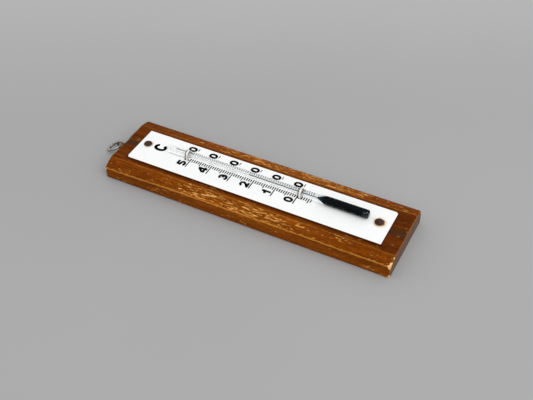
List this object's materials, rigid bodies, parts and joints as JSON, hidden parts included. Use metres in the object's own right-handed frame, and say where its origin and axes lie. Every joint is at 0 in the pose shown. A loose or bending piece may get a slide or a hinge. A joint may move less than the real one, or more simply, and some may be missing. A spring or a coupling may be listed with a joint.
{
  "type": "wall thermometer",
  "caption": "Spirit thermometer on a bevelled wooden board, with a white scale plate, flat staples over the stem, round-headed nails and a loose hanging ring in a screw eye.",
  "frame": {"origin": "centre of the wooden board's flat back, which lies on the ground or against the wall", "axes": "+X across the board, to the right when the scale is read upright; +Y along the board towards the hanging ring; +Z out of the face, towards the reader"},
  "size_m": [0.047, 0.1946, 0.017],
  "materials": {
    "stained_wood": "worn brown varnish, darker on the flat middle, pale where the edges are chipped",
    "white_plate": "satin white enamel paint with black print, rust stains round the nails",
    "clear_glass": "clear, smooth",
    "dyed_spirit": "dark blue-green liquid",
    "bright_steel": "bright plated steel strip",
    "rusty_iron": "pitted dark rust",
    "tarnished_steel": "dull grey wire with a little rust"
  },
  "bodies": {
    "root": {"backboard": "stained_wood", "scale_plate": "white_plate", "stem_glass": "clear_glass", "bulb_spirit": "dyed_spirit", "spirit_column": "dyed_spirit", "upper_stem_staple": "bright_steel", "lower_stem_staple": "bright_steel", "upper_plate_nail": "rusty_iron", "lower_plate_nail": "rusty_iron", "screw_eye": "tarnished_steel"},
    "spirit_top": {"spirit_meniscus": "dyed_spirit"},
    "ring": {"hanging_ring": "tarnished_steel"}
  },
  "joints": [
    {"name": "ring_swing", "type": "hinge", "parent": "root", "child": "ring", "pos_m": [0, 0.0949, 0.005], "axis": [1, 0, 0], "range_deg": [-98, 147]},
    {"name": "spirit_rise", "type": "slide", "parent": "root", "child": "spirit_top", "axis": [0, 1, 0], "range_m": [-0.03975, 0.03835], "deforming": ["spirit_column"]}
  ]
}
